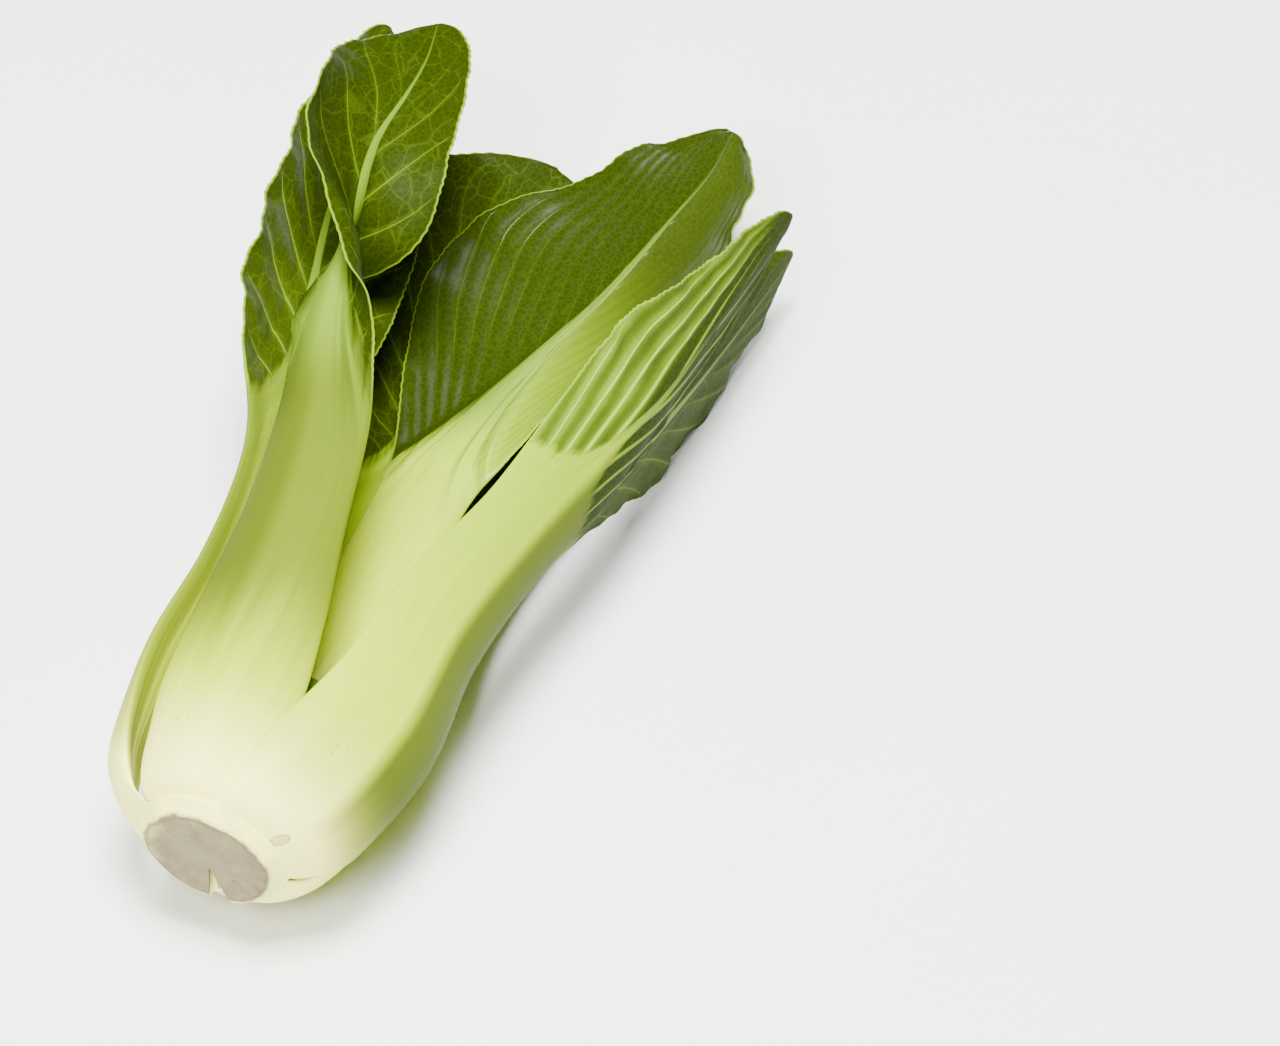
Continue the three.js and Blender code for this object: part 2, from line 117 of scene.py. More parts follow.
# Leaves from the outermost inwards.
# plump: the stalk's greatest thickness; collar: distance along the axis where the blade starts.
# tip_round: share of the leaf over which its left and right halves round off.
# wave: height, number and phase of the margin's waves; quilt: how strongly the panels swell.
# veins: where along the blade the first side vein leaves the midrib and meets the margin,
# the steps from vein to vein at both ends, and the bow of their path.
# flesh_end, where it isn't as usual: where along the blade the stalk's flesh starts to narrow,
# over what share, how much faster further out, and how much wider it is on the left.
# rows: stations, (along the axis, out to the leaf's back, sideways, turn, half widths left and
# right, curl of each half in degrees). They are the solids', but the last two of leaf_4 and
# leaf_8 and how these two round off: their tips are rounder and fuller on the left here.
USUAL_FLESH_END = (-0.1, 0.1, 0, 1)
LEAVES = (
    {
        "name": "leaf_1", "plump": 6.2, "collar": 92, "tip_round": (0.25, 0.25),
        "wave": (0.5, 4, 0.3), "veins": (-0.6, 0.9, 0.36, 0.4, 1.0),
        "quilt": 1.5, "flesh_end": (-0.16, 0.06, 0, 1),
        "rows": (
            (0, 12.9, 0, 0, 9.6, 10.4, 37, 46),
            (3, 18.4, 0.5, 0, 13.9, 13.8, 43, 46),
            (10, 23, 1.6, 0, 16.6, 16.2, 42, 45),
            (27, 28.8, 2, 0, 15, 16, 38, 42),
            (48, 30.5, 2, 2, 12.5, 13, 40, 42),
            (71, 32.5, 6, 6, 11, 11.5, 36, 42),
            (92, 35, 10.5, 12, 14, 12.5, 25, 38),
            (111, 35, 16, 18, 17.5, 14, 15, 60),
            (132, 34, 20.5, 22, 12.5, 14.5, 15, 75),
            (151, 33, 24, 22, 9.5, 11.5, 15, 70),
            (167, 32, 27, 20, 8, 8, 15, 55),
        ),
    },
    {
        "name": "leaf_2", "plump": 4.8, "collar": 87, "tip_round": (0.25, 0.25),
        "wave": (0.8, 5, 0.1), "veins": (-0.16, -0.02, 0.10, 0.13, 0.75),
        "quilt": 0.7,
        "rows": (
            (0, 12.9, 0, 0, 10, 5.8, 45, 26),
            (3, 19.3, 0.8, 0, 11, 7.5, 42, 32),
            (10, 23.6, 2, -3, 11, 9, 45, 48),
            (26, 23.8, 5, -20, 11, 9, 45, 40),
            (48, 22.6, 5, -28, 10, 7.5, 45, 40),
            (70, 25, 3, -35, 9, 6, 50, 40),
            (88, 26.5, 1.5, -50, 9, 11.5, 40, 20),
            (107, 30.5, 1, -62, 15, 15.5, 10, 30),
            (125, 35, 1, -66, 18, 14, 10, 35),
            (143, 38.5, 1, -66, 17, 13, 10, 35),
            (160, 41, 1, -66, 15, 12.5, 10, 30),
            (175, 43.5, 2.5, -60, 12, 10, 10, 20),
        ),
    },
    {
        "name": "leaf_3", "plump": 6, "collar": 92, "tip_round": (0.3, 0.3),
        "wave": (0.8, 4, 0.5), "veins": (-0.2, 0.0, 0.11, 0.14, 0.75),
        "quilt": 0.8,
        "rows": (
            (0, 12.9, 0, 0, 8.2, 11.2, 37, 50),
            (3, 18, 1, 0, 10.5, 13, 38, 45),
            (11, 23, 2, 0, 13.5, 15.5, 42, 45),
            (26, 27, 3.5, 0, 17, 17, 45, 45),
            (46, 28, 4, 0, 14, 14, 42, 42),
            (70, 28.5, 6, 0, 12, 12, 38, 38),
            (92, 30, 8, 9, 12, 12, 30, 30),
            (112, 30.8, 9.5, 21, 14, 20, 20, 20),
            (132, 32.3, 11.5, 32, 17, 27, 15, 10),
            (150, 34, 12.5, 34, 17, 26, 12, 8),
            (164, 35, 13.5, 34, 12, 18, 10, 6),
        ),
    },
    {
        "name": "leaf_4", "plump": 5.8, "collar": 82, "tip_round": (0.13, 0.2),
        "wave": (0.5, 4, 0.3), "veins": (0.0, 0.12, 0.11, 0.15, 0.8),
        "quilt": 0.45, "flesh_end": (-0.16, 0.28, 4, 2.2),
        "rows": (
            (0.3, 11.3, -4.9, -23, 7.8, 8.8, 36, 64),
            (3, 15.6, -6.5, -22, 10.7, 11.5, 41, 61),
            (10, 18.9, -7.6, -20, 11.6, 13.6, 42, 60),
            (22, 20.5, -7.8, -14, 12.2, 16.6, 36, 59),
            (40, 22, -7.6, -6, 12, 13.4, 42, 48),
            (58, 21, -9.5, -5, 11, 10.5, 45, 45),
            (76, 20.8, -13, -8, 10, 9.5, 45, 25),
            (92, 20.7, -18, -10, 8.5, 9, 45, -30),
            (106, 21.5, -22, -18, 10, 12.5, 50, -130),
            (120, 22, -25.8, -108, 15, 16.5, 60, -10),
            (135, 22, -28, -160, 14.8, 17.5, 35, 60),
            (149, 20.7, -27.3, -182, 11.8, 17, 20, 50),
            (160, 18.6, -27.8, -188, 9.4, 17.5, 15, 28),
            (170.5, 16.6, -30, -190, 9, 15, 15, 15),
        ),
    },
    {
        "name": "leaf_5", "plump": 5.4, "collar": 98, "tip_round": (0.2, 0.2),
        "wave": (0.8, 4, 0.7), "veins": (-0.2, 0.0, 0.10, 0.14, 0.75),
        "quilt": 0.6,
        "rows": (
            (0.3, 11.2, 0, 0, 9, 7.5, 46, 38),
            (4, 14.6, 0, 0, 12, 9, 46, 40),
            (13, 17.8, 0.5, 0, 14, 10.5, 45, 45),
            (28, 21.5, 0, 0, 16, 13.5, 45, 45),
            (50, 22.5, -3, 0, 13, 12, 40, 40),
            (75, 25, -7, -5, 10.5, 10.5, 35, 35),
            (100, 27, -10, -12, 10.5, 10.5, 30, 30),
            (116, 29, -8, -20, 17, 17, 20, 20),
            (132, 30, -6, -25, 23, 23, 15, 15),
            (148, 29.5, -7, -28, 27, 26, 10, 10),
            (163, 28, -9, -28, 30, 27, 10, 10),
            (178, 25, -11, -28, 28, 22, 10, 10),
        ),
    },
    {
        "name": "leaf_6", "plump": 5, "collar": 94, "tip_round": (0.3, 0.3),
        "wave": (0.6, 4, 0.9), "veins": (-0.2, 0.0, 0.11, 0.14, 0.75),
        "quilt": 0.6,
        "rows": (
            (0.3, 10.9, -0.6, 0, 7, 6.5, 42, 38),
            (4, 13.6, -1, 0, 8, 7.6, 44, 42),
            (13, 16.4, -1, 0, 9.8, 10.5, 45, 45),
            (28, 20.1, -1, 0, 13.5, 13, 45, 45),
            (48, 23.2, 0, 0, 12, 12, 42, 42),
            (72, 26, 4, 0, 10.5, 10.5, 38, 38),
            (96, 30, 9, 0, 11, 11, 30, 30),
            (118, 32.5, 15, 0, 16, 16.5, 20, 20),
            (138, 34.2, 20.6, 0, 16.8, 17.5, 20, 20),
            (156, 36.2, 23.2, 0, 15, 16, 20, 20),
            (173, 38, 25, 0, 11, 12, 20, 20),
        ),
    },
    {
        "name": "leaf_7", "plump": 3, "collar": 50, "tip_round": (0.3, 0.3),
        "wave": (0.4, 3, 0.4), "veins": (-0.1, 0.1, 0.16, 0.2, 0.75),
        "quilt": 0.5,
        "rows": (
            (8, 8, 0, 0, 6, 6, 50, 50),
            (20, 11, 0, 0, 8, 8, 50, 50),
            (36, 13, 0, 0, 8, 8, 45, 45),
            (50, 14, 0, 0, 7, 7, 40, 40),
            (62, 15, 0, 0, 8, 8, 30, 30),
            (72, 15, 0, 0, 9, 9, 30, 30),
            (82, 14, 0, 0, 7, 7, 30, 30),
        ),
    },
    {
        "name": "leaf_8", "plump": 5.2, "collar": 98, "tip_round": (0.16, 0.25),
        "wave": (0.9, 4.5, 0.15), "veins": (-0.3, 0.3, 0.085, 0.13, 1.2),
        "quilt": 0.3, "flesh_end": (-0.15, 0.2, 1.2, 1),
        "rows": (
            (4, 9, 0, 0, 8, 8, 50, 50),
            (19, 10.5, 1.5, 0, 10, 10, 45, 45),
            (38, 12.5, 2.5, 0, 11.5, 11.5, 40, 40),
            (58, 14.5, 2.3, 0, 10.5, 11, 35, 35),
            (79, 16, 2, 0, 8.5, 10, 30, 30),
            (98, 17, 2.3, 0, 9.5, 11, 20, 22),
            (115, 18, 0, 0, 18, 20, 60, 12),
            (131, 18.8, -4, 0, 25, 30, 65, 8),
            (147, 18.8, -9.5, 0, 26.5, 33, 65, 8),
            (163, 16.5, -15, 0, 24, 22.5, 52, 8),
            (176, 14, -19.8, 0, 14, 19.5, 45, 8),
            (185.5, 11.4, -21.5, 0, 9, 16, 35, 10),
        ),
    },
    {
        "name": "leaf_9", "plump": 2.4, "collar": 23, "tip_round": (0.3, 0.3),
        "wave": (0.2, 3, 0.6), "veins": (-0.1, 0.1, 0.16, 0.2, 0.75),
        "quilt": 0.4,
        "rows": (
            (9, 7.5, 0, 0, 5, 5, 50, 50),
            (16, 8.8, 0, 0, 6, 6, 50, 50),
            (23, 9.5, 0, 0, 5.5, 5.5, 45, 45),
            (29, 9.5, 0, 0, 6, 6, 40, 40),
            (34, 9, 0, 0, 5, 5, 30, 30),
        ),
    },
)
HEART_LEAVES = ("leaf_7", "leaf_9")

# Profile of the cut stem: (radius, distance along the axis).
STEM_PROFILE = (
    (0, -2.25), (3, -2.3), (7, -2.3), (10.9, -2.3), (12.0, -2.0), (12.5, -1.3), (12.9, -0.6),
    (13.5, 0.1), (13.9, 0.6), (13.4, 1.0), (8.4, 1.2), (6.6, 3.4), (5.6, 8), (3.8, 13), (2, 18),
    (0, 20),
)
SPLIT_SLOPE = 0.21  # half width of the split over its length
SPLIT_APEX = 2.2  # how near the middle it reaches
SPLIT_TURN = 6.0  # degrees that it leans from straight down
STEM_TURNS, STEM_RINGS = 360, 64  # faces round and along it
DISC_END = 0.05  # the split and the uneven outline end here, along the axis
FACE_END = -2.2  # and the rough face here

# Floor, lamps (name, place in metres, size, watts, tint), the point they face, and the air.
FLOOR_REACH = 3000
LAMPS = (
    ("key", (0.1, -0.15, 1.25), 0.4, 78.0, (1.0, 0.99, 0.96)),
    ("front", (0.05, -0.75, 1.0), 0.4, 24.0, (0.98, 0.99, 1.0)),
    ("back", (-0.1, 0.9, 0.9), 0.4, 3.0, (1.0, 1.0, 1.0)),
)
LIT_POINT = np.array((0, 0, 0.03))
AIR_STRENGTH = 0.15
SENSOR_WIDTH = 36


# ---- Sizes and colours a user would change ----
def srgb(code):
    """A colour written as six hexadecimal digits, as linear red, green and blue."""
    parts = np.array([int(code[i:i + 2], 16) for i in (0, 2, 4)]) / 255
    linear = np.where(parts <= 0.04045, parts / 12.92, ((parts + 0.055) / 1.055) ** 2.4)
    return tuple(float(x) for x in linear)


def colour(name, description, code):
    return FloatVectorProperty(
        name=name, description=description, default=srgb(code), subtype="COLOR", size=3,
        min=0, max=1,
    )


class BokChoyLeafSizes(PropertyGroup):
    rows: IntProperty(
        name="Rows", description="Faces along a large leaf", default=280, min=40, max=400
    )
    columns: IntProperty(
        name="Columns", description="Faces across a large leaf", default=84, min=16, max=160
    )
    tooth_pitch: FloatProperty(
        name="Tooth pitch", description="Distance between the small teeth of the margin",
        default=0.0018, unit="LENGTH",
    )
    tooth_depth: FloatProperty(
        name="Tooth depth", description="How far a tooth stands out", default=0.0003, unit="LENGTH"
    )
    vein_height: FloatProperty(
        name="Vein height", description="How far a side vein stands out of the leaf's back",
        default=0.00026, unit="LENGTH",
    )
    quilting: FloatProperty(
        name="Quilting", description="How far the blade swells between two veins",
        default=0.00055, unit="LENGTH",
    )


class BokChoyColours(PropertyGroup):
    stalk_base: colour("Stalk base", "Stalk beside the cut stem", "F9F68A")
    stalk_middle: colour("Stalk middle", "Stalk halfway up", "A9BE00")
    stalk_top: colour("Stalk top", "Stalk below the blade", "7A9800")
    # stalk_deep is the stalk's greenest colour, and also the painted shade on its sides and below
    # the blade
    stalk_deep: colour("Stalk deep", "Stalk where it is greenest, at its sides", "48560C")
    blade_face: colour("Blade face", "The blade's inner face", "283406")
    blade_back: colour("Blade back", "The blade's back", "5A7516")
    # blade_deep is also the painted shade laid over whole blade halves
    blade_deep: colour("Blade deep", "Darkest patches of the blade", "1D2900")
    vein: colour("Veins", "Midrib and side veins", "8AAE26")
    margin: colour("Margin", "Thin bright edge of the blade", "7C9A1C")
    cut_face: colour("Cut face", "Dried cut through the stem", "7E7552")
    cut_rim: colour("Cut rim", "Brown line round the cut", "5A4628")


class BokChoyStage(PropertyGroup):
    azimuth: FloatProperty(
        name="Azimuth", description="Camera's turn to the right of the cut end",
        default=math.radians(21.8), subtype="ANGLE",
    )
    elevation: FloatProperty(
        name="Elevation", description="Camera's height above the horizon",
        default=math.radians(49.8), subtype="ANGLE",
    )
    distance: FloatProperty(
        name="Distance", description="From the camera to the cut end", default=0.938, unit="LENGTH"
    )
    aside: FloatProperty(
        name="Aside", description="Camera's shift to its right", default=0.0724, unit="LENGTH"
    )
    above: FloatProperty(
        name="Above", description="Camera's shift upwards in its picture",
        default=0.0553, unit="LENGTH",
    )
    lens: FloatProperty(name="Lens", description="Focal length", default=155.9, unit="CAMERA")


# ---- Leaf shape, worked out as whole arrays ----
def smooth(x):
    """0 below 0, 1 above 1, and 3x squared minus 2x cubed between."""
    x = np.clip(x, 0, 1)
    return x * x * (3 - 2 * x)


RISE = math.radians(AXIS_RISE)
AXIS = np.array((0, math.cos(RISE), math.sin(RISE)))
UP = np.array((0, -math.sin(RISE), math.cos(RISE)))
SIDE = np.array((1.0, 0, 0))


def outward(facing):
    return UP * math.cos(facing) + SIDE * math.sin(facing)


def sideways(facing):
    return -UP * math.sin(facing) + SIDE * math.cos(facing)


def stations(rows, t):
    """The rows' values at t, 0 to 1 along the leaf: a Catmull-Rom curve through all rows,
    with one more row past each end by reflection."""
    rows = np.array(rows, float)
    spans = len(rows) - 1
    x = np.clip(t, 0, 1) * spans
    i = np.minimum(x.astype(int), spans - 1)
    f = (x - i)[..., None]
    padded = np.vstack((2 * rows[0] - rows[1], rows, 2 * rows[-1] - rows[-2]))
    p0, p1, p2, p3 = (padded[i + k] for k in range(4))
    return p1 + 0.5 * (
        (p2 - p0) * f + (2 * p0 - 5 * p1 + 4 * p2 - p3) * f**2 + (3 * p1 - p0 - 3 * p2 + p3) * f**3
    )


def centre_line(leaf, facing, t):
    """Points of the leaf's middle line, from its distances along, out and sideways."""
    row = stations(leaf["rows"], t)
    return (
        CUT_CENTRE + row[..., 0:1] * AXIS + row[..., 1:2] * outward(facing)
        + row[..., 2:3] * sideways(facing)
    )


def parameter_at(leaf, distance):
    """The t at which the leaf's middle line has gone a distance along the axis."""
    t = np.linspace(0, 1, 2001)
    return float(np.interp(distance, stations(leaf["rows"], t)[:, 0], t))


def grid_lines(collar, rows, columns):
    """t of every row, with the stalk's share of them, and v of every column."""
    in_stalk = np.linspace(0, collar, int(rows * STALK_ROWS), endpoint=False)
    in_blade = np.linspace(0, 1, rows - len(in_stalk))
    in_blade = (1 - TIP_BUNCHING) * in_blade + TIP_BUNCHING * np.sin(in_blade * math.pi / 2)
    even = np.linspace(-1, 1, columns)
    v = (1 - MARGIN_BUNCHING) * even + MARGIN_BUNCHING * np.sin(even * math.pi / 2)
    return np.concatenate((in_stalk, collar + (1 - collar) * in_blade)), v


def section_axes(leaf, facing, t, row):
    """For every row, the way that the leaf's back faces there and the way to its right half."""
    tangent = centre_line(leaf, facing, np.clip(t + NUDGE, 0, 1))
    tangent = tangent - centre_line(leaf, facing, np.clip(t - NUDGE, 0, 1))
    tangent /= np.linalg.norm(tangent, axis=1, keepdims=True)
    lean = smooth(row[:, 0] / UPRIGHT_END)
    normal = outward(facing) - (lean * (tangent @ outward(facing)))[:, None] * tangent
    normal /= np.linalg.norm(normal, axis=1, keepdims=True)
    across = np.cross(tangent, normal)
    across /= np.linalg.norm(across, axis=1, keepdims=True)
    across = lean[:, None] * across + (1 - lean[:, None]) * sideways(facing)
    across /= np.linalg.norm(across, axis=1, keepdims=True)
    turn = np.radians(row[:, 3:4])
    back_way = np.cos(turn) * normal + np.sin(turn) * across
    side_way = -np.sin(turn) * normal + np.cos(turn) * across
    return back_way, side_way


def leaf_grid(leaf, order, sizes, rows, columns):
    """Both faces of a leaf on a grid, and what its material reads.

    t runs from the stem to the tip and v from margin to margin. A section is two arcs of given
    half width and curl, turned about the middle line; the back stands out along the arc's
    normal and the inner face lies the leaf's thickness behind it. The margin waves as a sine
    and ends in small teeth. Side veins are the lines where q is whole: the blade's share, less
    a start that moves with v, over a step that grows with v. Between them the blade swells.

    The material reads place: mm across and along, and the share s of the stalk; growth: the
    share p of the blade, mm across over the flesh's half width, and the blade's share below 0 in
    the stalk; veins: q, mm from side vein to side vein, and mm from the margin."""
    facing = math.radians(FIRST_FACING - GOLDEN_ANGLE * order)
    collar = parameter_at(leaf, leaf["collar"])
    t, v = grid_lines(collar, rows, columns)
    row = stations(leaf["rows"], t)
    back_way, side_way = section_axes(leaf, facing, t, row)

    T, V = np.meshgrid(t, v, indexing="ij")
    left = V < 0
    hand = np.sign(V)
    away = np.abs(V)
    ends = np.where(left, *leaf["tip_round"])
    tip = np.clip((T - 1 + ends) / ends, 0, FAR_END)
    width = np.where(left, row[:, 4:5], row[:, 5:6]) * np.sqrt(1 - tip**2)
    curl = np.radians(np.where(left, row[:, 6:7], row[:, 7:8]))
    curl = np.where(np.abs(curl) < FLAT, FLAT, curl)
    angle = curl * away
    s = np.clip(T / collar, 0, 1)
    blade_share = (T - collar) / (1 - collar)
    p = np.clip(blade_share, 0, 1)

    # thickness: a bulge over the margin's thickness, which narrows to the midrib
    swell = BASE_SHARE + (1 - BASE_SHARE) * smooth(s / SWELL_END)
    thinning = 1 - STALK_THINNING * smooth((s - SWELL_END) / (1 - SWELL_END))
    rib = leaf["plump"] * MIDRIB_SHARE - EDGE_THICKNESS
    in_blade = T >= collar
    middle = np.where(
        in_blade,
        EDGE_THICKNESS + rib * np.exp(-RIB_THINNING * p) * np.sqrt(1 - p),
        leaf["plump"] * swell * thinning,
    )
    edge = EDGE_THICKNESS + BASE_EXTRA * smooth(s / BASE_EXTRA_END) * (1 - s)
    at_collar = stations(leaf["rows"], np.array([collar]))[0]
    collar_width = (at_collar[4] + at_collar[5]) / 2
    rib_width = collar_width * np.exp(-RIB_NARROWING * p) + EDGE_THICKNESS
    rib_width = np.where(in_blade, np.minimum(width, rib_width), width)
    bulge = (middle - edge) * (1 - np.clip(away * width / rib_width, 0, 1) ** 2) ** FULLNESS
    behind = RIB_RISE * smooth(p / RIB_RISE_END) * bulge
    total = edge + bulge

    # the margin thins and rounds off
    rim = (1 - away) * width
    round_off = np.sqrt(1 - (1 - np.clip(rim / ROUNDING, 0, 1)) ** 2 * ROUNDNESS)
    thin_blade = 1 - MARGIN_THINNING * smooth(p / 0.1) * (1 - smooth(rim / MARGIN_REACH))
    kept = round_off * thin_blade

    # side veins, shifted by half a step on the left
    first_start, first_end, start_step, end_step, bow = leaf["veins"]
    reach = away**bow
    q = (blade_share - first_start - (first_end - first_start) * reach) / (
        start_step + (end_step - start_step) * reach
    )
    q = q + np.where(left, 0.5, 0)

    # middle surface and the margin's waves
    height, count, phase = leaf["wave"]
    wave = height * smooth(p / 0.25) * away**2.2
    wave = wave * np.sin(2 * math.pi * (count * p + phase + np.where(left, LEFT_PHASE, 0)))
    ruffle = RUFFLE * smooth(p / 0.2) * away**5
    wave = wave + ruffle * np.sin(2 * math.pi * (count * 2.7 * p + 2.3 * phase + 0.2 * hand))
    surface_normal = np.cos(angle)[..., None] * back_way[:, None]
    surface_normal = surface_normal + (hand * np.sin(angle))[..., None] * side_way[:, None]
    lateral = hand[..., None] * np.cos(angle)[..., None] * side_way[:, None]
    lateral = lateral - np.sin(angle)[..., None] * back_way[:, None]
    aside = hand * width * np.sin(angle) / curl
    inwards = width * (1 - np.cos(angle)) / curl
    base = (
        centre_line(leaf, facing, t)[:, None] + aside[..., None] * side_way[:, None]
        - inwards[..., None] * back_way[:, None]
    )

    # teeth stand out sideways, and stop short of the tip
    along = np.linalg.norm(np.diff(base[:, columns // 2], axis=0), axis=1)
    along = np.concatenate(((0,), np.cumsum(along)))[:, None] + 0 * V
    pitch = sizes.tooth_pitch / MM
    teeth = along / pitch + 0.3 * np.sin(along * 0.31 + order) + 0.2 * hand
    saw = np.abs(2 * np.mod(teeth, 1) - 1)
    tooth = sizes.tooth_depth / MM * (1 - saw) ** 1.4
    tooth = tooth * smooth(p / 0.08) * (1 - smooth((T - 0.97) / 0.03))
    tooth = tooth * smooth((away - 0.9) / 0.1)

    # side veins stand out behind, and the panels between them swell forwards
    length_i = np.linalg.norm(np.gradient(base, axis=0), axis=2)
    length_j = np.linalg.norm(np.gradient(base, axis=1), axis=2)
    q_i = np.gradient(q, axis=0) / np.maximum(length_i, 1e-6)
    q_j = np.gradient(np.where(left, q - 0.5, q), axis=1) / np.maximum(length_j, 1e-6)
    room = 1 / np.maximum(np.sqrt(q_i**2 + q_j**2), 1e-3)
    off_vein = np.abs(q - np.round(q))
    beside_rib = smooth((away * width - rib_width * 0.7) / 3)
    in_vein_land = smooth((blade_share + 0.03) / 0.1) * beside_rib
    fade = smooth(rim / 3.5) * in_vein_land * (1 - 0.35 * p)
    line = np.exp(-((off_vein * room / VEIN_WIDTH) ** 2)) * fade
    panel = np.sin(math.pi * off_vein) ** 2 * fade * np.clip(room / FULL_PANEL, 0, 1)
    crease = np.sin(along * 0.55 + 2.1 * np.sin(V * 9 + order) + order)
    crease = crease * np.sin(V * 14 + order * 1.7)
    shift = leaf["quilt"] * (BLISTER * crease * fade - sizes.quilting / MM * panel)

    # faint lengthwise streaks on the stalk
    streaks = 0.02 * np.sin(V * width * 2.1 + order) + 0.012 * np.sin(V * width * 4.7 + 2 * order)
    streaks = streaks * (1 - smooth((blade_share + 0.1) / 0.15))
    streaks = streaks * smooth(rim / 3) * smooth(s / 0.15)

    point = base + surface_normal * (wave + shift)[..., None] + lateral * tooth[..., None]
    out = behind - 0.45 * (1 - kept) * total
    back = point + surface_normal * (out + sizes.vein_height / MM * line + streaks)[..., None]
    front = point + surface_normal * (out - kept * total + 0.1 * line - streaks)[..., None]
    back[..., 2] = np.maximum(back[..., 2], 0)
    front[..., 2] = np.maximum(front[..., 2], 0)

    # half width of the stalk's flesh as it runs out into the blade
    start, fall, bend, wider = leaf.get("flesh_end", USUAL_FLESH_END)
    past = blade_share - start
    narrowing = np.maximum(past / fall + bend * past * np.abs(past), -3)
    flesh = 1.3 * (collar_width + 3) * np.exp(-narrowing)
    flesh = flesh * np.where(left, wider, 1)
    rib_reach = away * width / (flesh + 0.65 * (1 - p) + 0.1)
    fields = {
        "place": np.stack((hand * away * width, along, s), axis=-1),
        "growth": np.stack((p, rib_reach, blade_share), axis=-1),
        "veins": np.stack((q, np.minimum(room, MOST_ROOM), rim), axis=-1),
    }
    return back, front, fields


# ---- Meshes ----
def new_mesh(name, points, quads, fields, smooth_faces=True):
    """A mesh object at the origin from points in mm and rows of four point numbers. A quad whose
    last two numbers are alike is a triangle."""
    mesh = bpy.data.meshes.new(name)
    faces = [quad[:3] if quad[2] == quad[3] else quad for quad in quads.tolist()]
    mesh.from_pydata((points * MM).tolist(), [], faces)
    for key, values in fields.items():
        layer = mesh.attributes.new(key, "FLOAT_VECTOR", "POINT")
        layer.data.foreach_set("vector", np.ascontiguousarray(values, np.float32).ravel())
    mesh.polygons.foreach_set("use_smooth", np.full(len(mesh.polygons), smooth_faces))
    if mesh.validate():
        raise RuntimeError(f"{name} has bad faces")
    piece = bpy.data.objects.new(name, mesh)
    bpy.context.scene.collection.objects.link(piece)
    return piece


def sheet_mesh(name, back, front, fields):
    """One closed leaf from its two faces: a grid for each and a strip round the rim."""
    rows, columns = back.shape[:2]
    points = np.concatenate((back.reshape(-1, 3), front.reshape(-1, 3)))
    number = np.arange(rows * columns).reshape(rows, columns)
    a, b = number[:-1, :-1], number[:-1, 1:]
    c, d = number[1:, 1:], number[1:, :-1]
    outer = np.stack((a, b, c, d), axis=-1).reshape(-1, 4)
    inner = np.stack((a, d, c, b), axis=-1).reshape(-1, 4) + rows * columns
    rim = np.concatenate((number[0, :-1], number[:-1, -1], number[-1, :0:-1], number[:0:-1, 0]))
    following = np.roll(rim, -1)
    strip = np.stack((rim, rim + rows * columns, following + rows * columns, following), axis=-1)
    both = {}
    for key, values in fields.items():
        both[key] = np.concatenate((values.reshape(-1, 3), values.reshape(-1, 3)))
    inside = np.zeros((rows * columns * 2, 3))
    inside[rows * columns:, 0] = 1
    both["face"] = inside
    return new_mesh(name, points, np.concatenate((outer, inner, strip)), both)


# ---- Shader maths ----
PATCHES, GRAIN = 55.0, 900.0  # scales of the leaves' noises, per metre
STREAKS, BANDS = (0.75, 0.035), (0.22, 0.012)  # and per mm across and along a leaf
NET, SMALL_NET = (0.26, 0.19), (0.95, 0.8)
DOTS, CLOSE_DOTS, SPECK_LAND = (0.5, 0.5), (1.1, 0.9), (0.06, 0.05)
STAINS, STEM_GRAIN, PALE_SPOTS = 220.0, 1600.0, 90.0  # scales on the cut stem, per metre
MOTTLE = 14.0  # and on the floor
BUMP_STRENGTH = 0.8
LEAF_BUMP, STEM_BUMP = 0.00028, 0.0006  # metres
REFRACTION = 1.4


class Num:
    """A socket that carries a number. Arithmetic on it adds Math nodes."""

    def __init__(self, paint, socket):
        self.paint = paint
        self.socket = socket

    def math(self, operation, *others):
        node = self.paint.add("ShaderNodeMath", {"operation": operation}, (self, *others))
        return Num(self.paint, node.outputs[0])

    def __add__(self, other):
        return self.math("ADD", other)

    def __radd__(self, other):
        return self.math("ADD", other)

    def __sub__(self, other):
        return self.math("SUBTRACT", other)

    def __rsub__(self, other):
        node = self.paint.add("ShaderNodeMath", {"operation": "SUBTRACT"}, (other, self))
        return Num(self.paint, node.outputs[0])

    def __mul__(self, other):
        return self.math("MULTIPLY", other)

    def __truediv__(self, other):
        return self.math("DIVIDE", other)

    def __pow__(self, other):
        return self.math("POWER", other)

    def fraction(self):
        return self.math("FRACT")

    def size(self):
        return self.math("ABSOLUTE")

    def step(self, low, high):
        """0 at low and 1 at high, smooth between; low may be the larger."""
        node = self.paint.add(
            "ShaderNodeMapRange", {"interpolation_type": "SMOOTHSTEP", "clamp": True},
            (self, low, high, 0.0, 1.0),
        )
        return Num(self.paint, node.outputs[0])


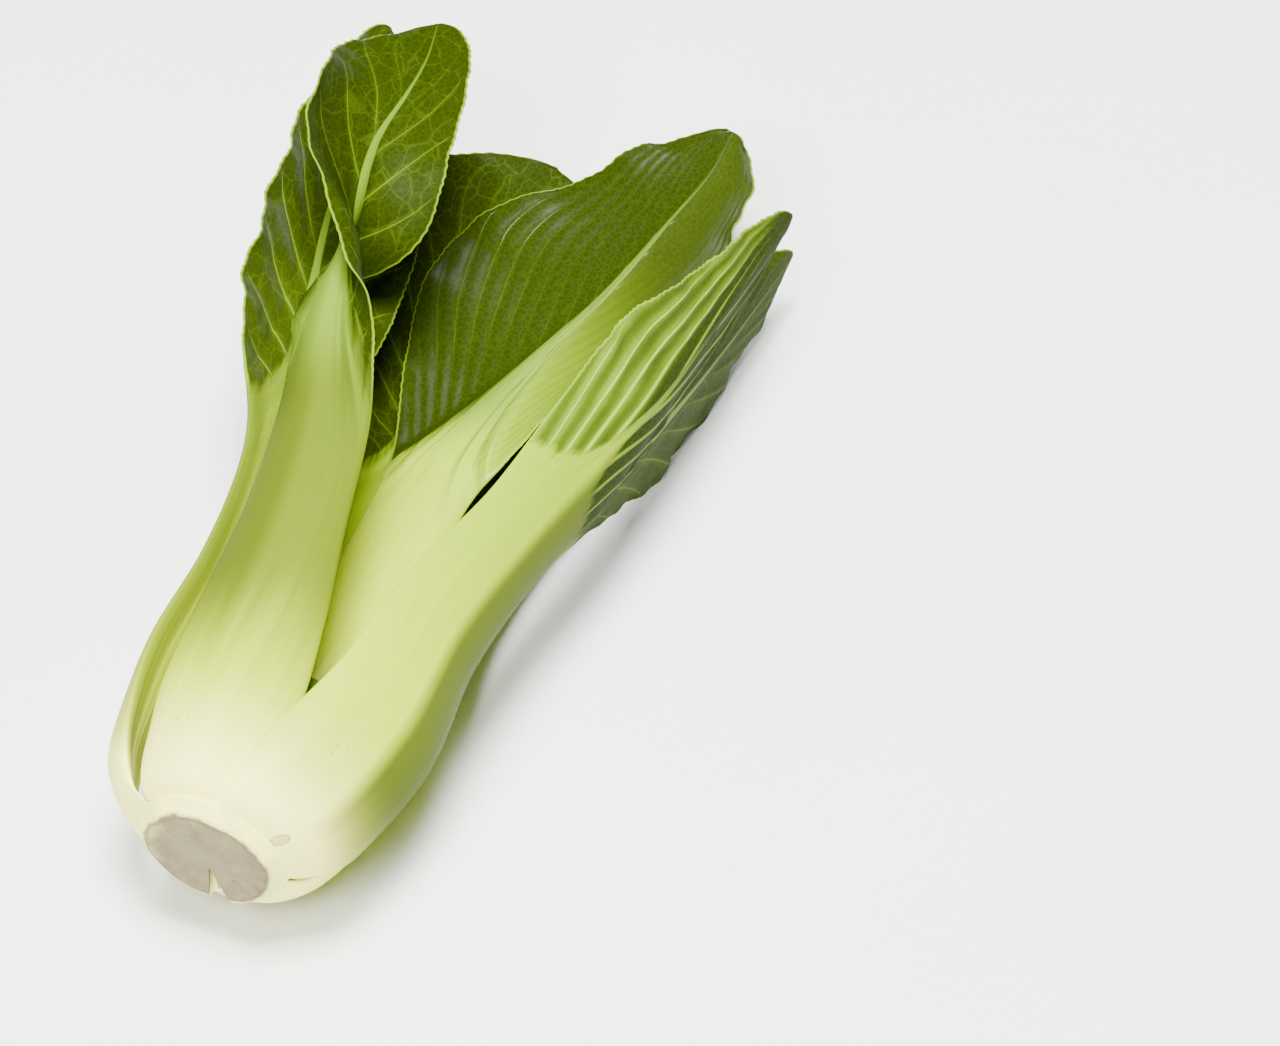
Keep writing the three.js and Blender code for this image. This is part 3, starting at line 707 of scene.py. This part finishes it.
class Paint:
    """A material's node tree and the few kinds of node that the finishes use."""

    def __init__(self, name):
        self.material = bpy.data.materials.new(name)
        self.material.use_nodes = True
        self.tree = self.material.node_tree
        self.shader = self.tree.nodes["Principled BSDF"]

    def add(self, kind, settings, values):
        """A node with its settings made first, then its inputs filled in order or by name."""
        node = self.tree.nodes.new(kind)
        for key, value in settings.items():
            setattr(node, key, value)
        pairs = values.items() if isinstance(values, dict) else enumerate(values)
        for key, value in pairs:
            self.fill(node.inputs[key], value)
        return node

    def fill(self, socket, value):
        if isinstance(value, Num):
            value = value.socket
        if isinstance(value, bpy.types.NodeSocket):
            self.tree.links.new(value, socket)
        elif socket.type == "RGBA":
            socket.default_value = (*value, 1)
        else:
            socket.default_value = value

    def read(self, name):
        """The three numbers of an attribute of the piece."""
        node = self.add("ShaderNodeAttribute", {"attribute_name": name}, ())
        split = self.add("ShaderNodeSeparateXYZ", {}, (node.outputs["Vector"],))
        return tuple(Num(self, out) for out in split.outputs)

    def place(self):
        """Object coordinates as a vector."""
        return self.add("ShaderNodeTexCoord", {}, ()).outputs["Object"]

    def vector(self, x, y, z):
        return self.add("ShaderNodeCombineXYZ", {}, (x, y, z)).outputs[0]

    def noise(self, vector, scale=1.0, detail=2.0, roughness=0.5):
        node = self.add(
            "ShaderNodeTexNoise", {},
            {"Vector": vector, "Scale": scale, "Detail": detail, "Roughness": roughness},
        )
        return Num(self, node.outputs[0])

    def cells(self, vector, feature="DISTANCE_TO_EDGE"):
        node = self.add(
            "ShaderNodeTexVoronoi", {"feature": feature}, {"Vector": vector, "Scale": 1.0}
        )
        return Num(self, node.outputs["Distance"])

    def blend(self, share, first, second, how="MIX"):
        """Colour first where share is 0 and second where it is 1."""
        node = self.add("ShaderNodeMix", {"data_type": "RGBA", "blend_type": how}, ())
        self.fill(node.inputs[0], share)
        self.fill(node.inputs[6], first)
        self.fill(node.inputs[7], second)
        return node.outputs[2]

    def bump(self, height, distance):
        values = {"Height": height, "Distance": distance, "Strength": BUMP_STRENGTH}
        return self.add("ShaderNodeBump", {}, values).outputs[0]

    def set(self, **values):
        for key, value in values.items():
            self.fill(self.shader.inputs[key.replace("_", " ")], value)


def leaf_material(name, seed, colours, tone):
    """Stalk and blade of one leaf: cream to lime along the stalk, deeper at its sides (partly
    their greener colour, partly painted shade), then green with a pale midrib and side veins, a
    net of fine veins and a bright margin, and painted shade over whole halves of some blades. The
    inner face is darker and glossier than the back."""
    paint = Paint(name)
    across, along, s = paint.read("place")
    p, rib, share = paint.read("growth")
    q, room, rim = paint.read("veins")
    inner = paint.read("face")[0]

    # noises: two in space, and three that are drawn out along the leaf
    here = paint.place()
    cloud = paint.noise(here, PATCHES, 3.0)
    fine = paint.noise(here, GRAIN)
    x, y = STREAKS
    streak = paint.noise(paint.vector(across * x + seed, along * y, inner * 3.0), 1.0, 4.0, 0.62)
    x, y = BANDS
    broad = paint.noise(paint.vector(across * x + seed, along * y, inner * 5.0))
    on_left = (across + p.step(0.0, 0.35) * tone["edge"]).step(1.5, -1.5)
    fan = paint.noise(paint.vector(rib * 4.5, on_left * 7.0 + seed, along * y))
    green = (rib + (streak - 0.5) * 0.9 + (fan - 0.5) * tone["ribs"]).step(0.75, 1.3)

    # stalk: cream, then lime, deeper towards the sides that the tone names: partly their greener
    # colour, partly painted shade where they turn from the light
    rise = s * tone["pace"] + (broad - 0.5) * 0.12 + (streak - 0.5) * 0.06
    stalk = paint.blend(rise.step(0.12, 0.55), colours.stalk_base, colours.stalk_middle)
    stalk = paint.blend(rise.step(0.5, 1.05) * tone["ripe"], stalk, colours.stalk_top)
    # partly the stalk's own deeper green, partly painted shade on stalks that turn away from the
    # light, such as leaf_4's
    stalk = paint.blend(rise.step(0.42, 0.75) * tone["deep"], stalk, colours.stalk_deep)
    # painted shade, partly the stalk's own greener sides: stalk_deep laid over the sides that turn
    # away from the light
    left, right, begin, onset = tone["flanks"]
    outwards = across.size() / (across.size() + rim)
    flank_green_and_shade = outwards.step(begin, begin + 0.3) * s.step(onset, onset + 0.28)
    flank_green_and_shade = flank_green_and_shade * (on_left * left + (1 - on_left) * right)
    stalk = paint.blend(flank_green_and_shade, stalk, colours.stalk_deep)
    stalk = paint.blend((streak - 0.5).step(0.0, 0.22) * 0.14 * s, stalk, colours.stalk_deep)

    # blade: the face is darker than the back, with dark patches, lighter near the stalk, and
    # painted shade over whole halves
    blade = paint.blend(inner, colours.blade_back, colours.blade_face)
    blade = paint.blend(cloud.step(0.35, 0.75) * tone["patches"], blade, colours.blade_deep)
    young = rib.step(26.0, 1.0) * p.step(0.65, 0.0) * tone["young"]
    blade = paint.blend(young, blade, colours.stalk_top)
    # painted shade: darkens the blade's left or right half, and weakens its veins, where that half
    # lies in shade
    left, right = tone["dim"]
    dim = on_left * left + (1 - on_left) * right
    blade = paint.blend(dim, blade, colours.blade_deep)
    blade = paint.blend(p.step(0.1, 0.85) * tone["far"], blade, colours.blade_deep)

    # side veins, with a paler band round each, and the panels and two nets between them
    between = ((q + 0.5).fraction() - 0.5).size()
    off = between * room
    thick = ((1 - p) * rim.step(0.0, 14.0) * 0.7 + 0.3) * tone["width"]
    close, free = tone["crowd"]
    raised = off.step(thick * 1.3, thick * 0.5) * rim.step(0.3, 2.4) * p.step(1.25, 0.3)
    raised = raised * room.step(close, free)
    around = off.step(thick * 6.0, thick) * rim.step(0.5, 5.0) * room.step(2.5, 6.0)
    side_vein, halo = raised * green, around * green
    warp = paint.noise(paint.vector(across * 0.16, along * 0.16, seed))
    x, y = NET
    net_place = paint.vector(across * x + warp * 1.1, along * y + warp * 0.8, seed)
    net_line = paint.cells(net_place).step(0.05, 0.008) * rim.step(0.4, 2.0) * green
    x, y = SMALL_NET
    small_net = paint.cells(paint.vector(across * x, along * y, seed + 4.0))
    small_line = small_net.step(0.14, 0.02) * green * rib.step(1.0, 1.6)
    net_colour = colours.vein if tone["net_pale"] else colours.blade_deep
    blade = paint.blend(net_line * tone["net"], blade, net_colour)
    blade = paint.blend(between.step(0.1, 0.42) * tone["panels"], blade, colours.blade_deep)
    blade = paint.blend(small_line * 0.03, blade, colours.margin)
    blade = paint.blend(halo * (0.1 - dim * 0.07), blade, colours.margin)
    blade = paint.blend(side_vein * (1 - dim * 0.5) * tone["veins"], blade, colours.vein)

    # the stalk's flesh becomes the midrib, with grooves where it fans out
    midrib = paint.blend(0.2, colours.blade_back, colours.vein)
    flesh = paint.blend(p.step(0.0, 0.2), stalk, midrib)
    groove = fan.step(0.46, 0.56) * rib.step(0.1, 0.5) * share.step(-0.14, 0.08) * tone["ribs"]
    flesh = paint.blend(groove * 0.8, flesh, colours.blade_face)
    # painted shade on the midrib where its half of the blade is shaded
    flesh = paint.blend(dim * p.step(0.0, 0.25) * 0.5, flesh, colours.blade_back)
    fade = tone["rib_end"]
    body = paint.blend(1 - (1 - green) * p.step(fade, fade * 0.3), flesh, blade)
    body = paint.blend(rim.step(0.5, 0.1) * green * 0.6, body, colours.margin)
    body = paint.blend((fine - 0.5) * 0.3, body, colours.stalk_top, "SOFT_LIGHT")

    # brown specks here and there, closer together at one spot, and an oval scar
    x, y = DOTS
    dots = paint.cells(paint.vector(across * x + seed, along * y, seed), "F1")
    x, y = SPECK_LAND
    speck_land = paint.noise(paint.vector(across * x + seed, along * y, 2.0)).step(0.58, 0.7)
    middle, height, radius = tone["specks"]
    gap = ((across - middle) ** 2.0 + (along - height) ** 2.0) ** 0.5
    x, y = CLOSE_DOTS
    crowd = paint.cells(paint.vector(across * x, along * y, seed), "F1").step(0.26, 0.1)
    speck = dots.step(0.1, 0.05) * speck_land * 0.5 + crowd * gap.step(radius, radius * 0.3) * 0.75
    body = paint.blend(speck * (1 - green), body, colours.cut_rim)
    middle, height, half_width, half_length = tone["scar"]
    oval = ((across - middle) / half_width) ** 2.0 + ((along - height) / half_length) ** 2.0
    oval = oval ** 0.5
    body = paint.blend(oval.step(1.1, 0.8) * 0.45, body, colours.cut_face)
    body = paint.blend(oval.step(0.8, 1.0) * oval.step(1.3, 1.05) * 0.6, body, colours.cut_rim)

    rough = 0.5 - inner * green * tone["gloss"] + (fine - 0.5) * 0.1
    rough = rough + (1 - inner) * green * 0.18 - side_vein * 0.06
    beyond_rib = rib.step(0.75, 1.3)
    relief = (raised * 0.4 + around * 0.25 + fine * 0.08) * beyond_rib
    relief = relief + (streak - 0.5) * 0.15 * (1 - beyond_rib * 0.6)
    paint.set(
        Base_Color=body, Roughness=rough, Normal=paint.bump(relief, LEAF_BUMP),
        IOR=REFRACTION, Specular_IOR_Level=tone["shine"],
    )
    return paint.material


def stem_material(colours):
    """Dried cut: brown-grey with faint rays and rings and a brown edge, then cream flesh, with
    painted shadow inside the split.
    """
    paint = Paint("cut stem")
    radius, depth, turn = paint.read("place")
    here = paint.place()
    cloud = paint.noise(here, STAINS, 4.0, 0.6)
    fine = paint.noise(here, STEM_GRAIN, 3.0)
    rays = paint.noise(paint.vector(turn * 5.0 + cloud * 3.0, radius * 0.3, 0.0), detail=3.0)
    ring = radius + (cloud - 0.5) * 2.4
    cut = depth.step(-1.2, -2.0) * ring.step(11.8, 11.2)
    edge = ring.step(10.4, 11.2) * ring.step(12.2, 11.4) * depth.step(-1.0, -1.9)
    face = paint.blend(cloud.step(0.3, 0.75) * 0.55, colours.cut_face, colours.cut_rim)
    face = paint.blend(rays.step(0.45, 0.8) * 0.08 * ring.step(3.0, 6.0), face, colours.stalk_base)
    spots = paint.noise(here, PALE_SPOTS).step(0.45, 0.7)
    face = paint.blend(spots * 0.3, face, colours.stalk_base)
    skin = paint.blend(cloud.step(0.4, 0.8) * 0.4 + 0.1, colours.stalk_base, colours.stalk_middle)
    # painted shadow: the skin inside the split is darkened with the cut rim's brown
    split = turn.step(0.9, 0.5) * depth.step(-2.15, -1.9) * depth.step(4.0, 2.0)
    skin = paint.blend(split * 0.85, skin, colours.cut_rim)
    body = paint.blend(cut, skin, face)
    body = paint.blend(edge * 0.6, body, colours.cut_rim)
    relief = cloud * 0.5 + rays * 0.1 * cut + fine * 0.2
    rough = 0.45 + cut * 0.3
    paint.set(Base_Color=body, Roughness=rough, Normal=paint.bump(relief, STEM_BUMP))
    return paint.material


def floor_material():
    """Pale matt paper with the faintest mottle."""
    paint = Paint("pale floor")
    mottle = paint.noise(paint.place(), MOTTLE, 3.0)
    tint = paint.blend(mottle, (0.76, 0.76, 0.757), (0.8, 0.8, 0.797))
    paint.set(Base_Color=tint, Roughness=0.85)
    return paint.material


# How each leaf's finish differs from the usual one.
# veins, width: strength and width of the side veins; crowd: mm from vein to vein at which they
# are gone and at which they are whole; net, net_pale: strength of the net and whether it is pale.
# patches, panels, far: how dark the patches are, the middles of the panels, and the tip.
# dim: painted shade, how dark the blade's left and right halves are; edge: mm by which the line
# between them lies left of the midrib; young: how light the blade is near the stalk.
# pace, ripe, deep: how fast the stalk greens, how far, and how dark it is below the blade, partly
# its own deeper green and partly painted shade.
# flanks: how dark the stalk's left and right sides are, partly their greener colour and partly
# painted shade, from which share of the way out, and from which share of the way up.
# ribs: strength of the grooves where the stalk fans out; rib_end: share of the blade at which
# the midrib takes the blade's colour.
# gloss, shine: how much smoother the inner face is, and how strongly the leaf reflects.
# specks: where brown specks lie close together (across, along, radius); scar: an oval one
# (across, along, half width, half length), all in mm.
USUAL_TONE = {
    "veins": 0.3, "width": 0.35, "crowd": (2.5, 6.0), "net": 0.04, "net_pale": True,
    "patches": 0.4, "panels": 0.1, "far": 0.0, "dim": (0, 0), "edge": 0.0, "young": 0.2,
    "pace": 1.1, "ripe": 0.9, "deep": 0.15, "flanks": (0.5, 0.5, 0.42, 0.2),
    "ribs": 0.4, "rib_end": 1.0, "gloss": 0.06, "shine": 0.07,
    "specks": (0, 60, 0.5), "scar": (0, 0, 0.1, 0.1),
}
TONES = {
    "leaf_1": {
        "veins": 0.85, "width": 0.5, "patches": 0.45, "young": 0.1, "ripe": 0.8, "deep": 0.0,
        "flanks": (0.1, 1.0, -0.02, 0.15), "dim": (0, 1.0), "pace": 1.15,
        "far": 0.45, "panels": 0.6, "specks": (-5.5, 21, 3.5), "scar": (0.6, 2.6, 1.0, 1.7),
        "shine": 0.05, "edge": 4.0, "rib_end": 0.55, "crowd": (1.0, 2.6), "ribs": 0.5,
    },
    "leaf_2": {
        "veins": 0.32, "width": 0.32, "patches": 0.3, "young": 0.1, "deep": 0.5,
        "flanks": (0.6, 0.6, 0.42, 0.2), "dim": (0.6, 0.6), "gloss": 0.18, "shine": 0.15,
    },
    "leaf_4": {
        "veins": 0.32, "width": 0.34, "patches": 0.3, "deep": 0.85,
        "flanks": (1.0, 0.0, 0.05, 0.42), "dim": (0.9, 1.0), "young": 0.1,
        "gloss": 0.0, "specks": (-2.7, 16.5, 5.5), "shine": 0.04, "rib_end": 1.3,
        "ribs": 0.7,
    },
    "leaf_5": {
        "veins": 0.2, "dim": (1.0, 1.0), "young": 0.1, "shine": 0.04,
    },
    "leaf_6": {
        "veins": 0.25, "dim": (0.9, 0.9), "young": 0.1,
    },
    "leaf_8": {
        "veins": 0.15, "width": 0.3, "net": 0.04, "patches": 0.1, "young": 1.0, "ripe": 0.6,
        "deep": 0.0, "flanks": (0.2, 0.1, 0.65, 0.2), "net_pale": False,
        "pace": 1.0, "gloss": 0.2, "shine": 0.3, "ribs": 0.9, "dim": (0, 1.0),
    },
    "leaf_9": {
        "young": 0.5,
    },
}


def build_leaf(scene, order):
    leaf = LEAVES[order]
    sizes = scene.bok_choy_leaves
    small = 0.4 if leaf["name"] in HEART_LEAVES else 1
    rows, columns = int(sizes.rows * small), int(sizes.columns * small)
    back, front, fields = leaf_grid(leaf, order, sizes, rows, columns)
    piece = sheet_mesh(f"{leaf['name']}_whole", back, front, fields)
    tone = {**USUAL_TONE, **TONES.get(leaf["name"], {})}
    piece.data.materials.append(
        leaf_material(f"{leaf['name']} finish", 3.7 * order + 1, scene.bok_choy_colours, tone)
    )
    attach(piece, "root")
    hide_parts(f"{leaf['name']}_stalk", f"{leaf['name']}_blade")


def build_leaves(scene, at_heart):
    for order, leaf in enumerate(LEAVES):
        if (leaf["name"] in HEART_LEAVES) == at_heart:
            build_leaf(scene, order)


class BOKCHOY_OT_large_leaves(Operator):
    """Adds the seven large leaves"""

    bl_idname = "bok_choy.large_leaves"
    bl_label = "Large leaves"

    def execute(self, context):
        build_leaves(context.scene, at_heart=False)
        return {"FINISHED"}


class BOKCHOY_OT_heart_leaves(Operator):
    """Adds the two small leaves at the heart"""

    bl_idname = "bok_choy.heart_leaves"
    bl_label = "Heart leaves"

    def execute(self, context):
        build_leaves(context.scene, at_heart=True)
        return {"FINISHED"}


class BOKCHOY_OT_cut_stem(Operator):
    """Adds the cut stem with the split in its lower side"""

    bl_idname = "bok_choy.cut_stem"
    bl_label = "Cut stem"

    def execute(self, context):
        """A profile carried round the stem's axis. On the disc its radius stops at the walls of
        the split: the apex times the slope, over the slope's share of the cosine less the sine
        of the angle from the split. The face is dished and rough by a few sines."""
        profile = np.array(STEM_PROFILE)
        steps = np.linalg.norm(np.diff(profile, axis=0), axis=1)
        lengths = np.concatenate(((0,), np.cumsum(steps)))
        reach = np.linspace(0, lengths[-1], STEM_RINGS)
        radius = np.interp(reach, lengths, profile[:, 0])[1:-1, None]
        depth = np.interp(reach, lengths, profile[:, 1])[1:-1, None]
        phi = np.linspace(0, 2 * math.pi, STEM_TURNS, endpoint=False)[None, :]
        off = np.abs(np.mod(phi - math.radians(SPLIT_TURN) + math.pi, 2 * math.pi) - math.pi)
        gap = SPLIT_SLOPE * np.cos(off) - np.sin(off)
        wall = np.where(gap > 1e-3, SPLIT_APEX * SPLIT_SLOPE / np.maximum(gap, 1e-3), 99)
        outline = 1 + 0.012 * np.sin(3 * phi + 1) + 0.01 * np.sin(7 * phi)
        outline = outline + 0.006 * np.sin(17 * phi)
        rim = np.where(depth < DISC_END, np.minimum(radius * outline, wall), radius)
        rough = 0.1 * np.sin(1.9 * rim * np.cos(phi) + 1) * np.sin(1.6 * rim * np.sin(phi))
        rough = rough + 0.06 * np.sin(8 * phi + rim) - 0.25 * smooth(1 - rim / 9)
        lengthwise = depth + np.where(depth < FACE_END, np.clip(rough, 0, 0.3), 0)
        ring = (
            CUT_CENTRE + lengthwise[..., None] * AXIS
            - (rim * np.cos(phi))[..., None] * UP + (rim * np.sin(phi))[..., None] * SIDE
        )
        near_end, far_end = STEM_PROFILE[0][1], STEM_PROFILE[-1][1]
        ends = np.stack((CUT_CENTRE + (near_end + 0.1) * AXIS, CUT_CENTRE + far_end * AXIS))
        points = np.concatenate((ring.reshape(-1, 3), ends))
        number = np.arange(rim.size).reshape(rim.shape)
        following = np.roll(number, -1, axis=1)
        sides = (number[:-1], number[1:], following[1:], following[:-1])
        sides = np.stack(sides, axis=-1).reshape(-1, 4)
        near, far = np.full(STEM_TURNS, rim.size), np.full(STEM_TURNS, rim.size + 1)
        caps = np.concatenate((
            np.stack((near, number[0], following[0], following[0]), axis=-1),
            np.stack((far, following[-1], number[-1], number[-1]), axis=-1),
        ))
        place = np.stack((rim, lengthwise + 0 * rim, phi + 0 * rim), axis=-1).reshape(-1, 3)
        place = np.concatenate((place, ((0, near_end, 0), (0, far_end, 0))))
        piece = new_mesh("cut_stem", points, np.concatenate((sides, caps)), {"place": place})
        piece.data.materials.append(stem_material(context.scene.bok_choy_colours))
        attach(piece, "root")
        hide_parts("stem_base")
        return {"FINISHED"}


class BOKCHOY_OT_stage(Operator):
    """Adds the pale floor, the soft lights and the camera"""

    bl_idname = "bok_choy.stage"
    bl_label = "Stage"

    def execute(self, context):
        scene = context.scene
        stage = scene.bok_choy_stage
        corners = FLOOR_REACH * np.array(((-1, -1, 0), (1, -1, 0), (1, 1, 0), (-1, 1, 0)), float)
        floor = new_mesh("floor", corners, np.array(((0, 1, 2, 3),)), {}, smooth_faces=False)
        floor.data.materials.append(floor_material())

        right = np.array((math.cos(stage.azimuth), math.sin(stage.azimuth), 0))
        level = np.array((math.sin(stage.azimuth), -math.cos(stage.azimuth), 0))
        back = level * math.cos(stage.elevation) + np.array((0, 0, math.sin(stage.elevation)))
        up = np.cross(back, right)
        place = CUT_CENTRE * MM + stage.distance * back + stage.aside * right + stage.above * up
        data = bpy.data.cameras.new("camera")
        data.lens = stage.lens
        data.sensor_width = SENSOR_WIDTH
        data.clip_start, data.clip_end = 0.01, 20
        camera = bpy.data.objects.new("camera", data)
        scene.collection.objects.link(camera)
        turn = Matrix((right, up, back)).transposed().to_4x4()
        camera.matrix_world = Matrix.Translation(place) @ turn
        scene.camera = camera

        for settings in LAMPS:
            lamp(*settings)
        scene.world = bpy.data.worlds.new("studio air")
        scene.world.use_nodes = True
        air = scene.world.node_tree.nodes["Background"]
        air.inputs["Color"].default_value = (1, 1, 1, 1)
        air.inputs["Strength"].default_value = AIR_STRENGTH
        return {"FINISHED"}


def lamp(name, place, size, power, tint):
    """A soft square light that faces the middle of the head."""
    data = bpy.data.lights.new(name, "AREA")
    data.shape = "SQUARE"
    data.size = size
    data.energy = power
    data.color = tint
    light = bpy.data.objects.new(name, data)
    bpy.context.scene.collection.objects.link(light)
    aim = LIT_POINT - np.array(place)
    back = -aim / np.linalg.norm(aim)
    right = np.cross((0, 0, 1), back)
    right /= np.linalg.norm(right)
    turn = Matrix((right, np.cross(back, right), back)).transposed().to_4x4()
    light.matrix_world = Matrix.Translation(place) @ turn


class BOKCHOY_PT_panel(Panel):
    """Sizes, colours and pieces of the bok choy"""

    bl_label = "Bok choy"
    bl_idname = "BOKCHOY_PT_panel"
    bl_space_type = "VIEW_3D"
    bl_region_type = "UI"
    bl_category = "Bok choy"

    def draw(self, context):
        for settings in GROUPS:
            box = self.layout.box()
            group = getattr(context.scene, settings)
            for key in group.__annotations__:
                box.prop(group, key)
        for operator in OPERATORS:
            self.layout.operator(operator.bl_idname)


GROUPS = {
    "bok_choy_leaves": BokChoyLeafSizes,
    "bok_choy_colours": BokChoyColours,
    "bok_choy_stage": BokChoyStage,
}
OPERATORS = (
    BOKCHOY_OT_cut_stem,
    BOKCHOY_OT_large_leaves,
    BOKCHOY_OT_heart_leaves,
    BOKCHOY_OT_stage,
)


def register():
    for kind in (*GROUPS.values(), *OPERATORS, BOKCHOY_PT_panel):
        bpy.utils.register_class(kind)
    for key, kind in GROUPS.items():
        setattr(bpy.types.Scene, key, PointerProperty(type=kind))


def unregister():
    for key in GROUPS:
        delattr(bpy.types.Scene, key)
    for kind in reversed((*GROUPS.values(), *OPERATORS, BOKCHOY_PT_panel)):
        bpy.utils.unregister_class(kind)


def main():
    register()
    bpy.ops.bok_choy.cut_stem()
    bpy.ops.bok_choy.large_leaves()
    bpy.ops.bok_choy.heart_leaves()
    bpy.ops.bok_choy.stage()


if __name__ == "__main__":
    main()
